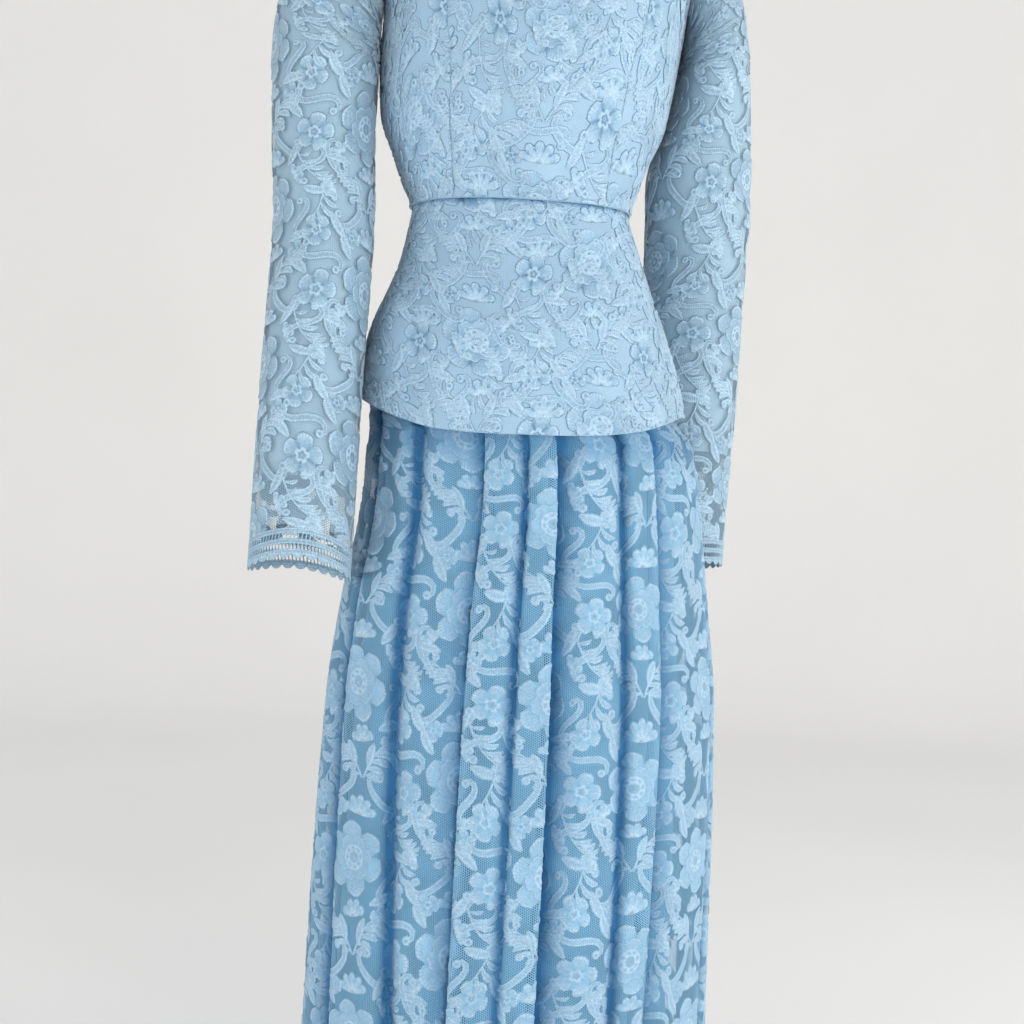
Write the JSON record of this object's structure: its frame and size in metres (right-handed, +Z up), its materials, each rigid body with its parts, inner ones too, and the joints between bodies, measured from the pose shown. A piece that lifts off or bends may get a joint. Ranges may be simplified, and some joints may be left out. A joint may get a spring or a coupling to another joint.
{
  "type": "top and skirt set",
  "caption": "Worn-form lace top with long sleeves and a flared peplum, over a gathered floor-length lace skirt with a satin lining; hollow, open at neck, cuffs and hem.",
  "frame": {"origin": "midway between the two high points of the shoulders, where the neck begins; the wearer's shoulders hold the set there", "axes": "+Z up, -Y the way the wearer faces, +X to the wearer's left"},
  "size_m": [0.5135, 0.3769, 1.3701],
  "materials": {
    "lace_on_satin": "corded lace bonded on satin, soft sheen",
    "lace": "corded lace on an open net, matt",
    "sleeve_lining": "thin plain lining, matt",
    "satin_lining": "satin, soft sheen"
  },
  "bodies": {
    "root": {"bodice_front_centre": "lace_on_satin", "bodice_front_side_left": "lace_on_satin", "bodice_front_side_right": "lace_on_satin", "bodice_back_left": "lace_on_satin", "bodice_back_right": "lace_on_satin", "peplum_front": "lace_on_satin", "peplum_back": "lace_on_satin", "sleeve_left": "lace", "sleeve_right": "lace", "sleeve_lining_left": "sleeve_lining", "sleeve_lining_right": "sleeve_lining", "skirt_waistband": "satin_lining", "skirt_lace_front": "lace", "skirt_lace_back": "lace", "skirt_lining_front": "satin_lining", "skirt_lining_back": "satin_lining"}
  },
  "joints": []
}
